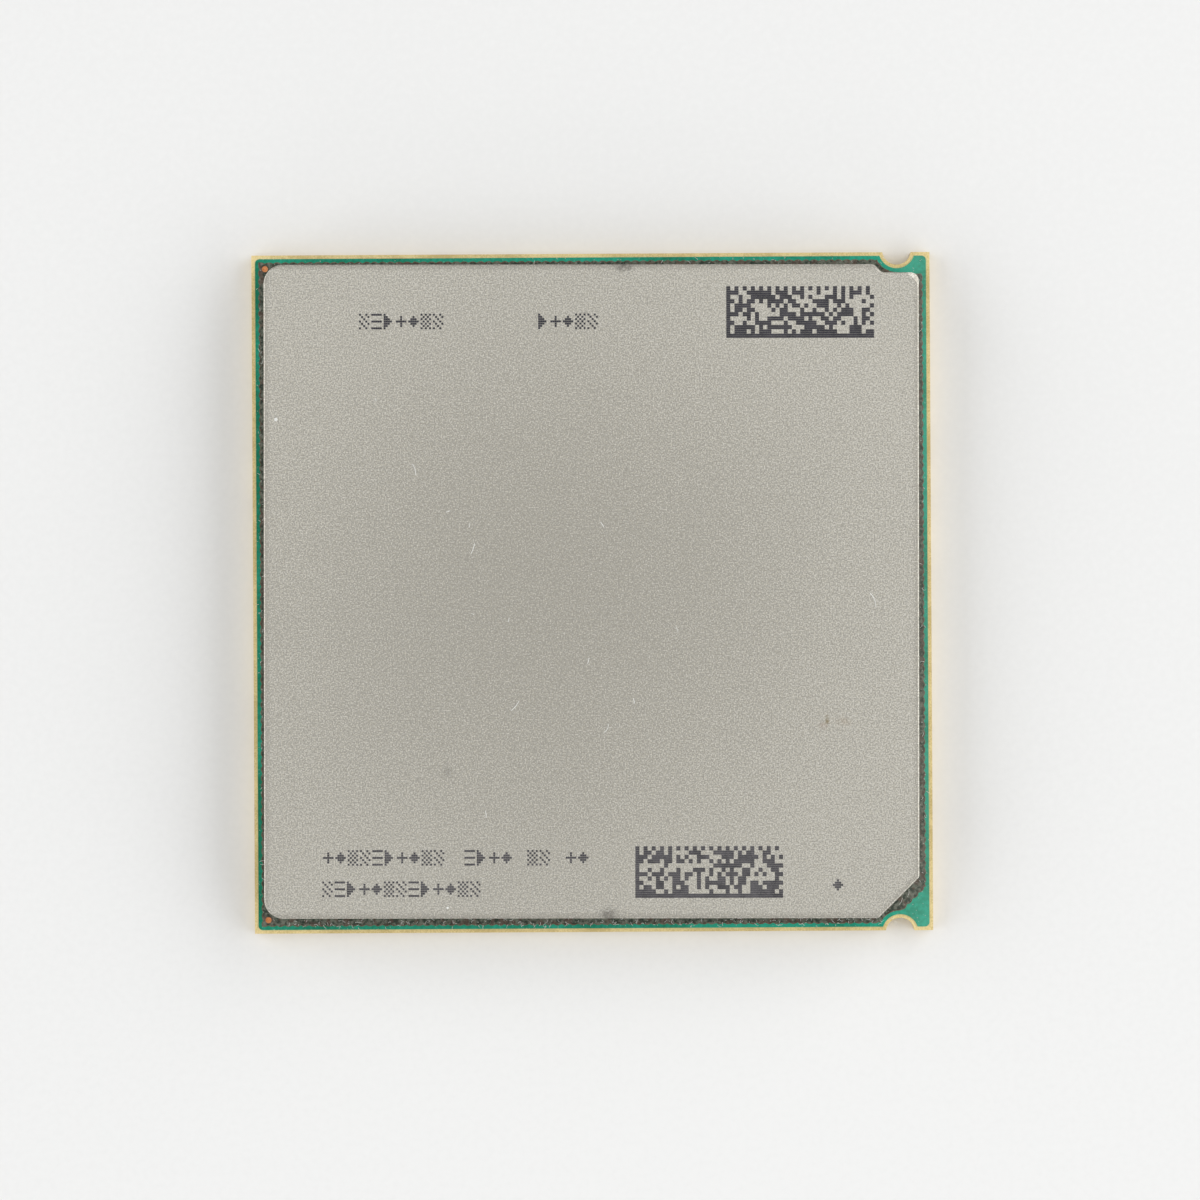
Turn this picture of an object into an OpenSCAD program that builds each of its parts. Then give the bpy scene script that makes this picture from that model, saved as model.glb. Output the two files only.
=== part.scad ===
// Lidded processor package on a square laminate board, with a grid of contact
// lands on its underside, a flip-chip die under the lid and rows of small
// ceramic capacitors around the die.
// Millimetres, +Z up through the lid. The origin is the centre of the land side.

/* [Board] */
// Side of the square laminate board
board_w = 50; // [48.5:0.1:54]
// Thickness of the laminate between its mask films
board_t = 1.3; // [0.8:0.05:2.4]
// Thickness of the solder mask over copper and on the underside
mask_t = 0.03; // [0.02:0.005:0.06]
// Bare rim between the board's edge and the mask
mask_setback = 0.27; // [0.15:0.01:0.4]
// Corner radius of the mask
mask_corner_r = 0.33; // [0.1:0.01:0.8]

/* [Top copper plane] */
// Thickness of the copper plane under the top mask
copper_t = 0.02; // [0.01:0.005:0.05]
// Mask that laps over the plane's outer edge
plane_lap = 0.28; // [0.15:0.01:0.4]
// Mask that laps over the plane's edge at each inner window
window_lap = 0.15; // [0.05:0.01:0.2]
// Leg of the plane's cut corner beside the lid's chamfer
plane_corner_cut = 3.84; // [3.3:0.02:4.2]
// Depth of the copper-free field in the corner beside the lid's relief
plane_corner_field = 1.6; // [1.2:0.05:1.8]

/* [Key notches] */
// Radius of the half-round key notches
notch_r = 1.07; // [0.8:0.01:1.2]
// Distance of the notch axes from the right edge
notch_inset = 2.42; // [2.2:0.02:3.2]
// Distance of the notch axes outside the board
notch_outset = 0.15; // [0.05:0.01:0.4]

/* [Fiducials] */
// Diameter of the round openings that bare the copper at the left corners
fiducial_d = 0.45; // [0.2:0.01:0.6]
// Distance of the fiducials from the board's edges
fiducial_inset = 1; // [0.85:0.01:1.2]

/* [Contact lands] */
// Lands along each side of the grid
land_count = 47; // [11:2:47]
// Distance between neighbouring lands
land_pitch = 1; // [0.8:0.01:1.02]
// Diameter of a land
land_d = 0.64; // [0.4:0.01:0.75]
// Thickness of a land on the mask of the underside
land_t = 0.02; // [0.01:0.005:0.05]
// Lands left out along each side of a corner
land_corner_skip = 2; // [0:1:6]

/* [Lid] */
// Board left showing at the lid's left and right edges
lid_margin_x = 1.05; // [0.9:0.05:1.6]
// Board left showing at the lid's front and rear edges
lid_margin_y = 1.1; // [0.9:0.05:1.6]
// Thickness of the lid over the die
lid_t = 2.3; // [1.2:0.05:3.5]
// Width of the foot around the lid's pocket
foot_w = 4; // [3.5:0.05:4.6]
// Corner radius of the pocket
pocket_r = 2; // [1:0.1:3]
// Corner radius of the two plain corners
lid_corner_r = 1.4; // [0.6:0.05:2]
// Bevel around the lid's top edge
lid_bevel = 0.14; // [0.05:0.01:0.25]
// Leg of the cut corner
lid_chamfer = 3; // [2:0.05:3.5]
// Radius at both ends of the cut corner
chamfer_end_r = 0.3; // [0.26:0.01:0.5]
// Length of the relief beside the upper key notch
relief_l = 3.3; // [2.8:0.05:4]
// Depth of that relief
relief_d = 0.6; // [0.3:0.01:0.8]
// Corner radius beside the relief
relief_corner_r = 0.6; // [0.4:0.05:0.8]
// Radius of the inner edge of the crescent that slopes off the top of that corner
crescent_r = 1.45; // [1.1:0.05:2]
// Slope of the crescent, from level
crescent_tilt = 30; // [15:1:45]
// Turn of the lid on the board, as glued
lid_skew = -0.25; // [-0.4:0.05:0.4]
// Shift of the lid along X, as glued
lid_shift_x = -0.05; // [-0.15:0.01:0.15]
// Shift of the lid along Y, as glued
lid_shift_y = 0.1; // [-0.15:0.01:0.15]

/* [Lid seal] */
// Thickness of the adhesive under the lid's foot
seal_t = 0.15; // [0.08:0.01:0.3]
// Distance of the bead from the lid's pocket
seal_pocket_margin = 0.3; // [0.1:0.05:1.5]
// Distance of the bead from the relief in the lid's edge
seal_margin = 0.1; // [0.05:0.01:0.2]
// Width of the vent left open in the bead
vent_w = 2.4; // [1:0.1:6]

/* [Die] */
// Distance of the die's sides from the board's left and right edges
die_margin_x = 12; // [11.5:0.25:15]
// Distance of the die's sides from the board's front and rear edges
die_margin_y = 14; // [11.5:0.25:15]
// Thickness of the die
die_t = 0.78; // [0.6:0.01:0.9]
// Height of the solder bump layer
bump_h = 0.1; // [0.06:0.01:0.14]
// Distance of the bump layer from the die's edge
bump_inset = 0.3; // [0.1:0.05:1]
// Spread of the underfill past the die's edge
underfill_w = 0.9; // [0.4:0.05:1.1]
// Height that the underfill climbs up the die's side
underfill_climb = 0.5; // [0.2:0.02:0.55]
// Thickness of the underfill at its top
underfill_lip = 0.08; // [0.04:0.01:0.2]
// Clear margin between the underfill and the mask
underfill_clear = 0.2; // [0.1:0.05:0.3]
// Thickness of the thermal interface layer
tim_t = 0.06; // [0.03:0.01:0.15]
// Distance of the thermal interface layer from the die's edge
tim_inset = 0.2; // [0:0.05:1]

/* [Capacitors] */
// Length of a capacitor over its end caps
cap_l = 1; // [0.8:0.05:1.2]
// Width of a capacitor's ceramic body
cap_w = 0.5; // [0.4:0.02:0.6]
// Height of a capacitor over its end caps
cap_h = 0.5; // [0.4:0.02:0.6]
// Length of each end cap
cap_end = 0.25; // [0.15:0.01:0.3]
// Plating of the end caps, proud of the ceramic body
cap_plating = 0.02; // [0.01:0.005:0.04]
// Rows of capacitors in each bank
cap_rows = 2; // [1:1:2]
// Capacitors in each row
cap_columns = 14; // [4:1:14]
// Distance between the rows
cap_row_pitch = 2; // [1.7:0.05:2.1]
// Distance between neighbours in a row
cap_column_pitch = 1.3; // [1:0.05:1.35]
// Mask left between the die's window and a bank's window
bank_web = 0.6; // [0.5:0.05:1]
// Copper pad showing around an end cap
pad_margin = 0.1; // [0.05:0.01:0.15]
// Bare laminate around a bank of capacitors
bank_margin = 0.3; // [0.2:0.05:0.35]

/* [Hidden] */
$fn = 48;

// Extra reach of a cutting shape past the face that it cuts
over = 1;

// Levels of the stack, from the lands upwards
mask_z = land_t;
field_z = mask_z + mask_t;
copper_z = field_z + board_t;
pad_top_z = copper_z + copper_t;
mask_top_z = pad_top_z + mask_t;
lid_z = mask_top_z + seal_t;
die_z = copper_z + bump_h;
tim_z = die_z + die_t;
ceiling_z = tim_z + tim_t;
lid_top_z = ceiling_z + lid_t;

board_half = board_w / 2;
mask_w = board_w - 2 * mask_setback;
plane_setback = mask_setback + plane_lap;
notch_x = board_half - notch_inset;
notch_y = board_half + notch_outset;
lid_half_x = board_half - lid_margin_x;
lid_half_y = board_half - lid_margin_y;
pocket_x = 2 * (lid_half_x - foot_w);
pocket_y = 2 * (lid_half_y - foot_w);
seal_inset = relief_d + seal_margin;
die_x = board_w - 2 * die_margin_x;
die_y = board_w - 2 * die_margin_y;
// Step between a chamfer's end and the centre of the radius that rounds it
chamfer_end_step = chamfer_end_r * (sqrt(2) - 1);
// The relief's floor is cut this far into the round of its corner
relief_bite = 0.02;
// The lid's blank runs this far past the start of the relief
relief_blank = relief_d / 2;
// Turn of each bank of capacitors around the die, from +X
bank_angle_right = 0;
bank_angle_rear = 90;
bank_angle_left = 180;
bank_angle_front = 270;
BANK_ANGLES = [bank_angle_right, bank_angle_rear, bank_angle_left, bank_angle_front];
bank_gap = underfill_w + underfill_clear + bank_web + bank_margin;
bank_depth = cap_l + (cap_rows - 1) * cap_row_pitch;
bank_width = cap_w + 2 * cap_plating + (cap_columns - 1) * cap_column_pitch;

// Outlines

module rounded_rectangle(x, y, r) {
    square([x - 2 * r, y], center = true);
    square([x, y - 2 * r], center = true);
    for (side_x = [-1, 1], side_y = [-1, 1])
        translate([side_x * (x / 2 - r), side_y * (y / 2 - r)]) circle(r = r);
}

module notch_circles(r) {
    for (side = [-1, 1]) translate([notch_x, side * notch_y]) circle(r = r);
}

module board_outline() {
    difference() {
        square(board_w, center = true);
        notch_circles(notch_r);
    }
}

module mask_outline() {
    difference() {
        rounded_rectangle(mask_w, mask_w, mask_corner_r);
        notch_circles(notch_r + mask_setback);
    }
}

module plane_outline() {
    difference() {
        square(board_w - 2 * plane_setback, center = true);
        notch_circles(notch_r + plane_setback);
        translate([notch_x, board_half - plane_corner_field]) square(plane_corner_field + over);
        translate([board_half, -board_half])
            polygon([[-plane_corner_cut - over, -over], [over, -over], [over, plane_corner_cut + over]]);
    }
}

// Windows in the mask and the plane, bare down to the laminate, grown by lap
module inner_windows(lap) {
    window_margin = 2 * (underfill_w + underfill_clear + lap);
    square([die_x + window_margin, die_y + window_margin], center = true);
    for (angle = BANK_ANGLES)
        in_bank(angle)
            translate([-bank_margin - lap, -bank_width / 2 - bank_margin - lap])
                square([bank_depth + 2 * (bank_margin + lap), bank_width + 2 * (bank_margin + lap)]);
}

// The relief in the lid's edge, grown by a bevel
module relief_outline(grow) {
    start = lid_half_x - relief_l - grow * sqrt(2);
    polygon([
        [start - over, lid_half_y + over],
        [start + relief_d + grow, lid_half_y - relief_d - grow],
        [lid_half_x + over, lid_half_y - relief_d - grow],
        [lid_half_x + over, lid_half_y + over]
    ]);
}

// Places

module on_lid() {
    translate([lid_shift_x, lid_shift_y, 0]) rotate(lid_skew) children();
}

module in_bank(angle) {
    die_side = angle % 180 == 0 ? die_x : die_y;
    rotate(angle) translate([die_side / 2 + bank_gap, 0]) children();
}

module each_capacitor(angle) {
    in_bank(angle)
        for (row = [0 : cap_rows - 1], column = [0 : cap_columns - 1])
            translate([
                cap_l / 2 + row * cap_row_pitch,
                (column - (cap_columns - 1) / 2) * cap_column_pitch,
                pad_top_z
            ])
                children();
}

module each_land() {
    last = land_count - 1;
    for (column = [0 : last], row = [0 : last])
        if (min(column, last - column) + min(row, last - row) >= land_corner_skip)
            translate([(column - last / 2) * land_pitch, (row - last / 2) * land_pitch, 0]) children();
}

// Board

// The bare rim of the underside ends level with the lands, around the field of the mask
module laminate_board() {
    color("tan") difference() {
        linear_extrude(height = copper_z) board_outline();
        translate([0, 0, -over]) linear_extrude(height = field_z + over) mask_outline();
    }
}

module top_copper_plane() {
    color("peru") translate([0, 0, copper_z])
        linear_extrude(height = copper_t)
            difference() {
                plane_outline();
                inner_windows(window_lap);
            }
}

module top_solder_mask() {
    color("seagreen") difference() {
        translate([0, 0, copper_z])
            linear_extrude(height = copper_t + mask_t)
                difference() {
                    mask_outline();
                    inner_windows(0);
                }
        top_copper_plane();
        for (side = [-1, 1])
            translate([-board_half + fiducial_inset, side * (board_half - fiducial_inset), copper_z])
                cylinder(d = fiducial_d, h = over);
    }
}

module bottom_solder_mask() {
    color("seagreen") translate([0, 0, mask_z]) linear_extrude(height = mask_t) mask_outline();
}

module contact_lands() {
    color("gold") each_land() cylinder(d = land_d, h = land_t);
}

// Lid

module lid_post(x, y, r) {
    translate([x, y, lid_z]) {
        cylinder(r = r, h = lid_top_z - lid_z - lid_bevel);
        cylinder(r = r - lid_bevel, h = lid_top_z - lid_z);
    }
}

module lid_blank() {
    hull() {
        for (side = [-1, 1])
            lid_post(-lid_half_x + lid_corner_r, side * (lid_half_y - lid_corner_r), lid_corner_r);
        lid_post(
            lid_half_x - lid_chamfer - chamfer_end_step, -lid_half_y + chamfer_end_r, chamfer_end_r
        );
        lid_post(
            lid_half_x - chamfer_end_r, -lid_half_y + lid_chamfer + chamfer_end_step, chamfer_end_r
        );
        lid_post(
            lid_half_x - relief_corner_r,
            lid_half_y - relief_d - relief_corner_r + relief_bite,
            relief_corner_r
        );
        lid_post(lid_half_x - relief_l + relief_blank, lid_half_y - chamfer_end_r, chamfer_end_r);
    }
}

module relief_cutter() {
    hull() {
        translate([0, 0, lid_z - over])
            linear_extrude(height = lid_top_z - lid_bevel - lid_z + over) relief_outline(0);
        translate([0, 0, lid_top_z]) linear_extrude(height = lid_bevel) relief_outline(lid_bevel);
    }
}

// The crescent's inner edge runs into both sides of the corner without a step
module crescent_cutter() {
    translate([lid_half_x - crescent_r, lid_half_y - relief_d - crescent_r, lid_top_z])
        rotate_extrude(angle = 90)
            polygon([
                [crescent_r, 0],
                [crescent_r + over, -over * tan(crescent_tilt)],
                [crescent_r + over, over],
                [crescent_r, over]
            ]);
}

module lid() {
    color("silver") on_lid() difference() {
        lid_blank();
        relief_cutter();
        crescent_cutter();
        translate([0, 0, lid_z - over])
            linear_extrude(height = ceiling_z - lid_z + over)
                rounded_rectangle(pocket_x, pocket_y, pocket_r);
    }
}

module lid_seal() {
    corner_cut = lid_chamfer + seal_inset;
    color("dimgray") on_lid() translate([0, 0, mask_top_z])
        linear_extrude(height = seal_t)
            difference() {
                rounded_rectangle(
                    2 * (lid_half_x - seal_inset), 2 * (lid_half_y - seal_inset), pocket_r
                );
                rounded_rectangle(
                    pocket_x + 2 * seal_pocket_margin, pocket_y + 2 * seal_pocket_margin, pocket_r
                );
                translate([-vent_w / 2, pocket_y / 2]) square([vent_w, foot_w]);
                translate([lid_half_x, -lid_half_y])
                    polygon([[-corner_cut - over, -over], [over, -over], [over, corner_cut + over]]);
            }
}

// Die stack

module centred_slab(x, y, z, t) {
    translate([-x / 2, -y / 2, z]) cube([x, y, t]);
}

module silicon_die() {
    color("slategray") centred_slab(die_x, die_y, die_z, die_t);
}

module solder_bump_layer() {
    color("lightgray")
        centred_slab(die_x - 2 * bump_inset, die_y - 2 * bump_inset, copper_z, bump_h);
}

module thermal_interface() {
    color("gainsboro") centred_slab(die_x - 2 * tim_inset, die_y - 2 * tim_inset, tim_z, tim_t);
}

// A bar along Y with sloping sides, wide enough for a die of the given width
module fillet_bar(width, length) {
    rise = bump_h + underfill_climb;
    rotate([90, 0, 0])
        linear_extrude(height = length, center = true)
            polygon([
                [-width / 2 - underfill_w, 0],
                [width / 2 + underfill_w, 0],
                [width / 2 + underfill_lip, rise],
                [-width / 2 - underfill_lip, rise]
            ]);
}

module underfill() {
    reach = max(die_x, die_y) + 4 * underfill_w;
    color("darkslategray") difference() {
        translate([0, 0, copper_z]) intersection() {
            fillet_bar(die_x, reach);
            rotate(90) fillet_bar(die_y, reach);
        }
        silicon_die();
        solder_bump_layer();
    }
}

// Capacitors

module capacitor_pads() {
    pad_l = cap_end + 2 * pad_margin;
    pad_w = cap_w + 2 * (cap_plating + pad_margin);
    color("peru") for (angle = BANK_ANGLES)
        each_capacitor(angle)
            for (end = [-1, 1])
                translate([end * (cap_l - cap_end) / 2 - pad_l / 2, -pad_w / 2, -copper_t])
                    cube([pad_l, pad_w, copper_t]);
}

module capacitor_bodies(angle) {
    body_l = cap_l - 2 * cap_end;
    color("rosybrown") each_capacitor(angle)
        translate([-body_l / 2, -cap_w / 2, cap_plating]) cube([body_l, cap_w, cap_h - 2 * cap_plating]);
}

module capacitor_ends(angle) {
    end_w = cap_w + 2 * cap_plating;
    color("silver") each_capacitor(angle)
        for (end = [-1, 1])
            translate([end * (cap_l - cap_end) / 2 - cap_end / 2, -end_w / 2, 0])
                cube([cap_end, end_w, cap_h]);
}

laminate_board();
top_copper_plane();
top_solder_mask();
bottom_solder_mask();
contact_lands();
lid();
lid_seal();
silicon_die();
solder_bump_layer();
underfill();
thermal_interface();
capacitor_pads();
capacitor_bodies(bank_angle_right);  // capacitor_bodies_right
capacitor_bodies(bank_angle_rear);  // capacitor_bodies_rear
capacitor_bodies(bank_angle_left);  // capacitor_bodies_left
capacitor_bodies(bank_angle_front);  // capacitor_bodies_front
capacitor_ends(bank_angle_right);  // capacitor_ends_right
capacitor_ends(bank_angle_rear);  // capacitor_ends_rear
capacitor_ends(bank_angle_left);  // capacitor_ends_left
capacitor_ends(bank_angle_front);  // capacitor_ends_front
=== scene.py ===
"""Looks of a lidded processor package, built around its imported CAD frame.

Every length is in metres in the CAD frame: +Z up through the lid, origin at the centre of the land side.
"""

import logging
import math
import random
from dataclasses import dataclass
from enum import Enum

import bmesh
import bpy
from mathutils import Matrix, Vector

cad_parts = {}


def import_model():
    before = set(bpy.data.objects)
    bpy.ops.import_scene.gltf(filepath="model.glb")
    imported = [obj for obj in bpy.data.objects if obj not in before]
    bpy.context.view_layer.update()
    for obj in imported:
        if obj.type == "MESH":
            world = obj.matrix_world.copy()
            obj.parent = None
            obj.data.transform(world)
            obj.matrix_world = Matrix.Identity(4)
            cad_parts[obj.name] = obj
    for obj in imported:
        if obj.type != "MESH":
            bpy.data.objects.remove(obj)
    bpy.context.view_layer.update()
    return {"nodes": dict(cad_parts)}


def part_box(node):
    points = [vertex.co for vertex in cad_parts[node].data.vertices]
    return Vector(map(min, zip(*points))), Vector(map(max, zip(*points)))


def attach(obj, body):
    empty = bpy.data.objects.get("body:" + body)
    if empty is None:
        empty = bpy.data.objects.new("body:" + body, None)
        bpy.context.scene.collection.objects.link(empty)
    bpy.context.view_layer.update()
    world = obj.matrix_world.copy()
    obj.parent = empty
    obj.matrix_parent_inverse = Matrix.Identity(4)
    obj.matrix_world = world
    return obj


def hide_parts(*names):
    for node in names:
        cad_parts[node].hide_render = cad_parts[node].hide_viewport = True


LOG = logging.getLogger("processor")
MM = 0.001
ROOT = "root"
BEVEL_PROFILE = 0.5
KEEP_MATERIAL = -1
COS_45 = math.sqrt(0.5)
# Octaves of a fine noise, and the spans that one noise, the sum of two and a mottle mostly keep to.
FINE_DETAIL = 3.0
NOISE_SPAN = (0.35, 0.65)
TWO_NOISES_SPAN = (0.7, 1.3)
MOTTLE_SPAN = (0.36, 0.66)
# Dots across and up one printed shape.
SHAPE_COLUMNS = 5
SHAPE_ROWS = 7

Socket = bpy.types.NodeSocket
Color = tuple[float, float, float]
Point = tuple[float, float]
Span = tuple[float, float]
Number = Socket | float


class Graph:
    """A material's node tree around one Principled shader, with short calls that add its nodes."""

    MIX_FACTOR, MIX_FIRST, MIX_SECOND, MIX_RESULT = 0, 6, 7, 2

    def __init__(self, name: str) -> None:
        """Start a material with a Principled shader and Object coordinates.

        Args:
            name: Name of the material.
        """
        self.material = bpy.data.materials.new(name)
        self.material.use_nodes = True
        self.tree = self.material.node_tree
        self.shader = self.tree.nodes["Principled BSDF"]
        self.place = self.tree.nodes.new("ShaderNodeTexCoord").outputs["Object"]

    def feed(self, socket: Socket, value: object) -> None:
        """Join a socket to another one, or set its constant.

        Args:
            socket: The input to fill.
            value: A socket, a number, a vector or a colour of three parts.
        """
        if isinstance(value, Socket):
            self.tree.links.new(value, socket)
        elif socket.type == "RGBA":
            socket.default_value = (*value, 1.0)
        else:
            socket.default_value = value

    def set(self, **values: object) -> None:
        """Fill inputs of the shader.

        Args:
            values: Input names, with underscores for spaces, and what fills them.
        """
        for name, value in values.items():
            self.feed(self.shader.inputs[name.replace("_", " ")], value)

    def math(self, operation: str, first: Number, second: Number = 0.0, third: Number = 0.0) -> Socket:
        """Add a Math node.

        Args:
            operation: Blender's name of the operation.
            first: First number.
            second: Second number, where the operation has one.
            third: Third number, where the operation has one.

        Returns:
            The result's socket.
        """
        node = self.tree.nodes.new("ShaderNodeMath")
        node.operation = operation
        for socket, value in zip(node.inputs, (first, second, third)):
            self.feed(socket, value)
        return node.outputs[0]

    def ease(self, value: Socket, start: float, end: float, low: float = 0.0, high: float = 1.0) -> Socket:
        """Step smoothly from low to high while a value goes from start to end.

        Args:
            value: The value that drives the step.
            start: Where the step starts.
            end: Where the step ends.
            low: Result at the start.
            high: Result at the end.

        Returns:
            The result's socket.
        """
        node = self.tree.nodes.new("ShaderNodeMapRange")
        node.interpolation_type = "SMOOTHSTEP"
        for name, number in zip(node.inputs.keys(), (value, start, end, low, high)):
            self.feed(node.inputs[name], number)
        return node.outputs[0]

    def blend(self, factor: Number, first: object, second: object) -> Socket:
        """Mix two colours.

        Args:
            factor: Share of the second colour.
            first: First colour.
            second: Second colour.

        Returns:
            The mixed colour's socket.
        """
        node = self.tree.nodes.new("ShaderNodeMix")
        node.data_type = "RGBA"
        self.feed(node.inputs[self.MIX_FACTOR], factor)
        self.feed(node.inputs[self.MIX_FIRST], first)
        self.feed(node.inputs[self.MIX_SECOND], second)
        return node.outputs[self.MIX_RESULT]

    def noise(self, size: float, detail: float = 2.0, stretch: Vector = Vector((1, 1, 1))) -> Socket:
        """Add noise with lumps of about one size.

        Args:
            size: Size of a lump.
            detail: Octaves of finer noise in it.
            stretch: Factors that the lumps are drawn out by along the axes.

        Returns:
            The noise's socket, about 0.3 to 0.7.
        """
        mapping = self.tree.nodes.new("ShaderNodeMapping")
        self.feed(mapping.inputs["Vector"], self.place)
        mapping.inputs["Scale"].default_value = [1 / (size * factor) for factor in stretch]
        node = self.tree.nodes.new("ShaderNodeTexNoise")
        self.feed(node.inputs["Vector"], mapping.outputs["Vector"])
        node.inputs["Scale"].default_value = 1.0
        node.inputs["Detail"].default_value = detail
        return node.outputs[0]

    def axes(self) -> tuple[Socket, Socket, Socket]:
        """Split the Object coordinates into x, y and z.

        Returns:
            The three sockets.
        """
        node = self.tree.nodes.new("ShaderNodeSeparateXYZ")
        self.feed(node.inputs[0], self.place)
        return node.outputs[0], node.outputs[1], node.outputs[2]

    def spot(self, centre: Vector, reach: Vector) -> Socket:
        """Mark an oval blob.

        Args:
            centre: Its middle.
            reach: Its half widths along the axes.

        Returns:
            A socket that is 1 in the middle and 0 from the rim on.
        """
        mapping = self.tree.nodes.new("ShaderNodeMapping")
        self.feed(mapping.inputs["Vector"], self.place)
        mapping.inputs["Location"].default_value = [-c / r for c, r in zip(centre, reach)]
        mapping.inputs["Scale"].default_value = [1 / r for r in reach]
        length = self.tree.nodes.new("ShaderNodeVectorMath")
        length.operation = "LENGTH"
        self.feed(length.inputs[0], mapping.outputs["Vector"])
        return self.ease(length.outputs["Value"], 1.0, 0.0)

    def bump(self, height: Socket, depth: float) -> None:
        """Raise the surface by a height, over any bump that is there.

        Args:
            height: Height from 0 to 1.
            depth: What a height of 1 stands for.
        """
        node = self.tree.nodes.new("ShaderNodeBump")
        node.inputs["Distance"].default_value = depth
        self.feed(node.inputs["Height"], height)
        normal = self.shader.inputs["Normal"]
        if normal.is_linked:
            self.feed(node.inputs["Normal"], normal.links[0].from_socket)
        self.feed(normal, node.outputs["Normal"])


@dataclass(frozen=True)
class GrainFinish:
    """A surface of two tones, mottled by fine grain and by broader patches."""

    name: str
    dark: Color
    light: Color
    grain: float
    patch: float
    gloss: Span
    metal: float = 0.0
    relief: float = 0.002 * MM

    def material(self) -> bpy.types.Material:
        """Build the material.

        Returns:
            The material.
        """
        graph = Graph(self.name)
        grain = graph.noise(self.grain, detail=FINE_DETAIL)
        patch = graph.noise(self.patch)
        tone = graph.ease(graph.math("ADD", grain, patch), *TWO_NOISES_SPAN)
        graph.set(
            Base_Color=graph.blend(tone, self.dark, self.light),
            Roughness=graph.ease(patch, *NOISE_SPAN, *self.gloss),
            Metallic=self.metal,
        )
        graph.bump(grain, self.relief)
        return graph.material


@dataclass(frozen=True)
class Stain:
    """A mark of dirt on the lid, as a soft oval in the lid's own x and y."""

    centre: Point
    reach: Point
    color: Color
    strength: float


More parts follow.
